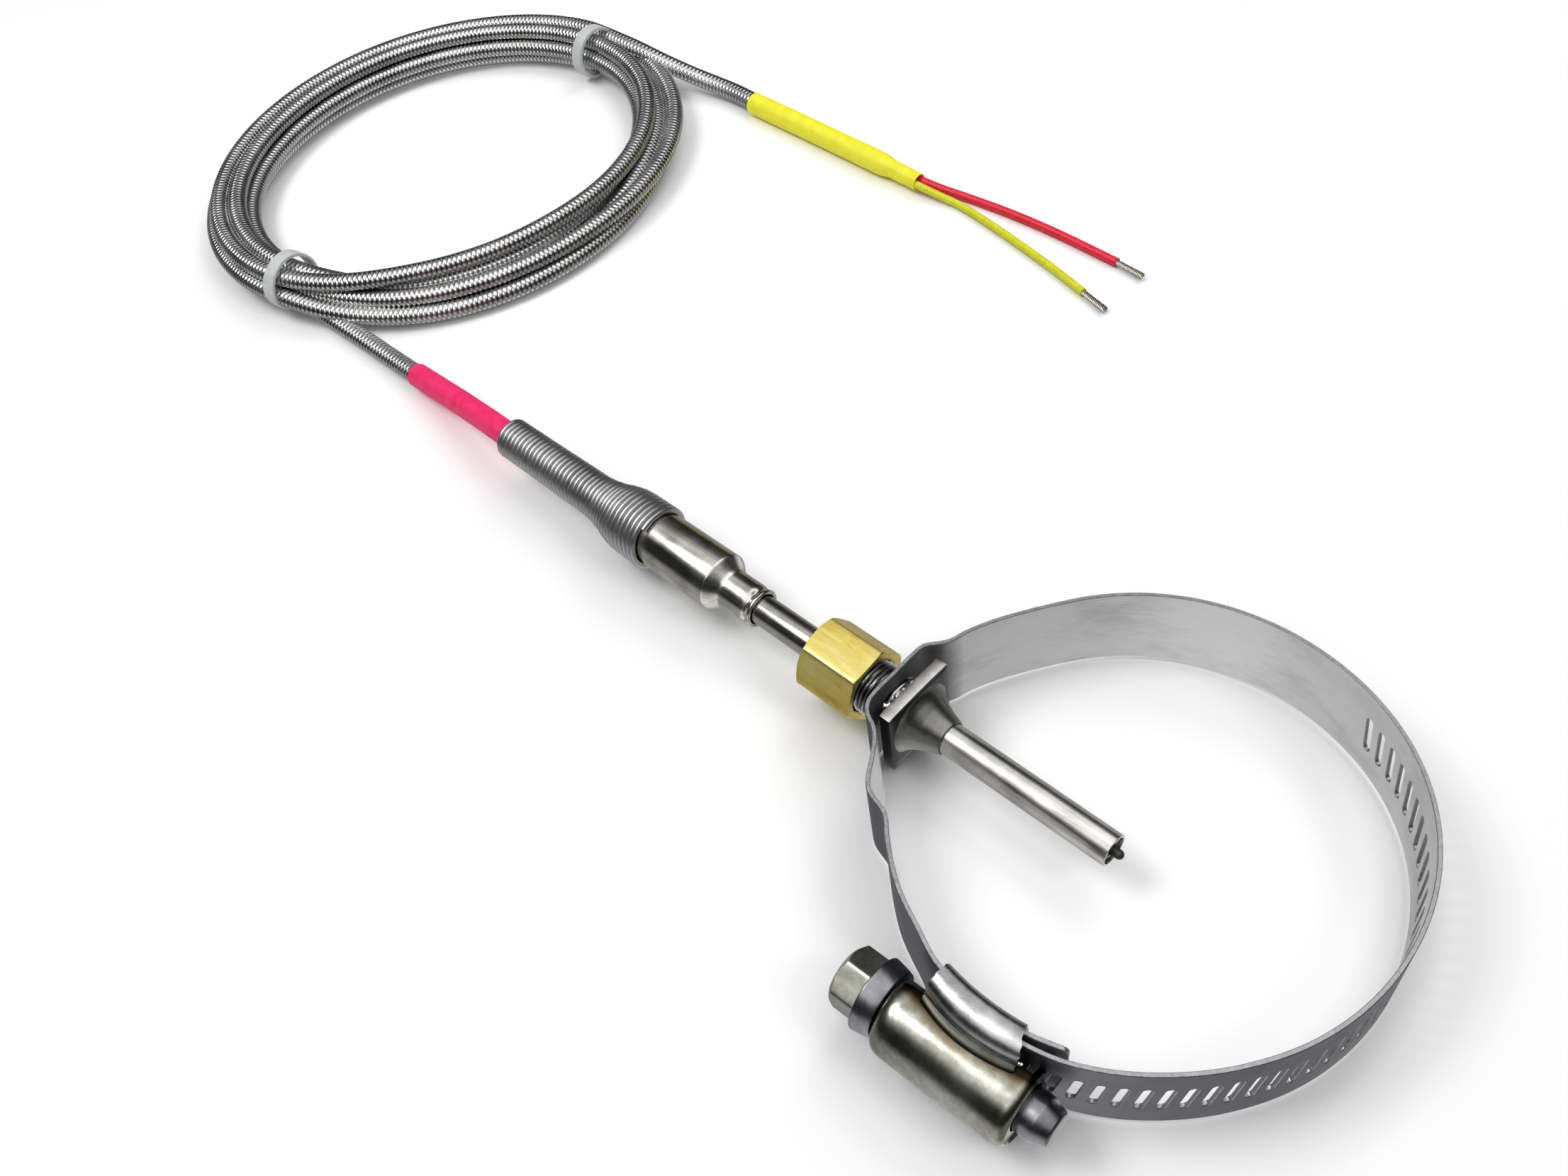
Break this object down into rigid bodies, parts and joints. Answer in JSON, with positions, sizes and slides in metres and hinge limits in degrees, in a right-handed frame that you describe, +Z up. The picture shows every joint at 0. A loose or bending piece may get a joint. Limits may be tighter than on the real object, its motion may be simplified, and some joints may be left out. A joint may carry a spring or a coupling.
{
  "type": "clamp-mounted thermocouple",
  "caption": "Exhaust or flue thermocouple: stainless probe in a compression fitting on a worm-drive pipe clamp, with a braided lead coiled and tied, ending in two bare conductors.",
  "frame": {"origin": "bottom centre of the bounding box of the probe, fitting and clamp, without the cable", "axes": "+X along the probe towards its tip, +Z up across the clamp band, clamp lying on its side"},
  "size_m": [0.3889, 0.193, 0.0214],
  "materials": {
    "bright_stainless": "polished",
    "satin_stainless": "satin",
    "junction_metal": "oxidised weld",
    "ceramic": "fired, matte",
    "thermo_alloy": "drawn",
    "potting": "cement",
    "spring_steel": "satin",
    "red_shrink": "matte",
    "yellow_shrink": "matte",
    "braid": "woven steel wire",
    "tie_plastic": "translucent",
    "red_insulation": "satin",
    "yellow_insulation": "satin",
    "bare_strands": "bright",
    "brass": "machined",
    "band_steel": "satin",
    "screw_steel": "satin"
  },
  "bodies": {
    "clamp": {"band_bung": "satin_stainless", "band_fixed": "band_steel", "saddle_strap": "satin_stainless", "worm_housing": "satin_stainless"},
    "band_end": {"band_slotted": "band_steel"},
    "screw": {"worm_screw": "screw_steel"},
    "ferrule_slide": {"ferrule": "brass"},
    "nut": {"compression_nut": "brass"},
    "probe": {"probe_tube": "bright_stainless", "tip_plug": "satin_stainless", "junction_bead": "junction_metal", "ceramic_insulator": "ceramic", "thermo_wire_positive": "thermo_alloy", "thermo_wire_negative": "thermo_alloy", "splice_sleeve_positive": "satin_stainless", "splice_sleeve_negative": "satin_stainless", "potting_plug": "potting", "transition_sleeve": "bright_stainless", "relief_spring": "spring_steel", "heat_shrink_red": "red_shrink", "cable_lead_a": "braid", "cable_coil": "braid", "cable_lead_b": "braid", "cable_tie_near": "tie_plastic", "cable_tie_far": "tie_plastic", "heat_shrink_yellow": "yellow_shrink", "conductor_red": "red_insulation", "conductor_yellow": "yellow_insulation", "strands_red": "bare_strands", "strands_yellow": "bare_strands"}
  },
  "joints": [
    {"name": "screw_turn", "type": "hinge", "parent": "clamp", "child": "screw", "pos_m": [0.06362, -0.04354, 0.01073], "axis": [0.9986, 0.0523, 0], "range_deg": [-360, 360]},
    {"name": "band_feed", "type": "hinge", "parent": "clamp", "child": "band_end", "pos_m": [0.06095, 0.05139, 0.01073], "axis": [0, 0, 1], "range_deg": [-2.2, 2.2]},
    {"name": "nut_turn", "type": "hinge", "parent": "ferrule_slide", "child": "nut", "pos_m": [-0.00105, 0.00079, 0.01073], "axis": [1, 0, 0], "range_deg": [-1800, 0]},
    {"name": "nut_feed", "type": "slide", "parent": "clamp", "child": "ferrule_slide", "axis": [1, 0, 0], "range_m": [-0.00635, 0]},
    {"name": "probe_depth", "type": "slide", "parent": "clamp", "child": "probe", "axis": [1, 0, 0], "range_m": [-0.02, 0.008]}
  ],
  "couplings": [
    {"joint": "band_feed", "follows": "screw_turn", "ratio": -0.0058497},
    {"joint": "nut_turn", "follows": "nut_feed", "rad_per_m": 4947.3}
  ]
}
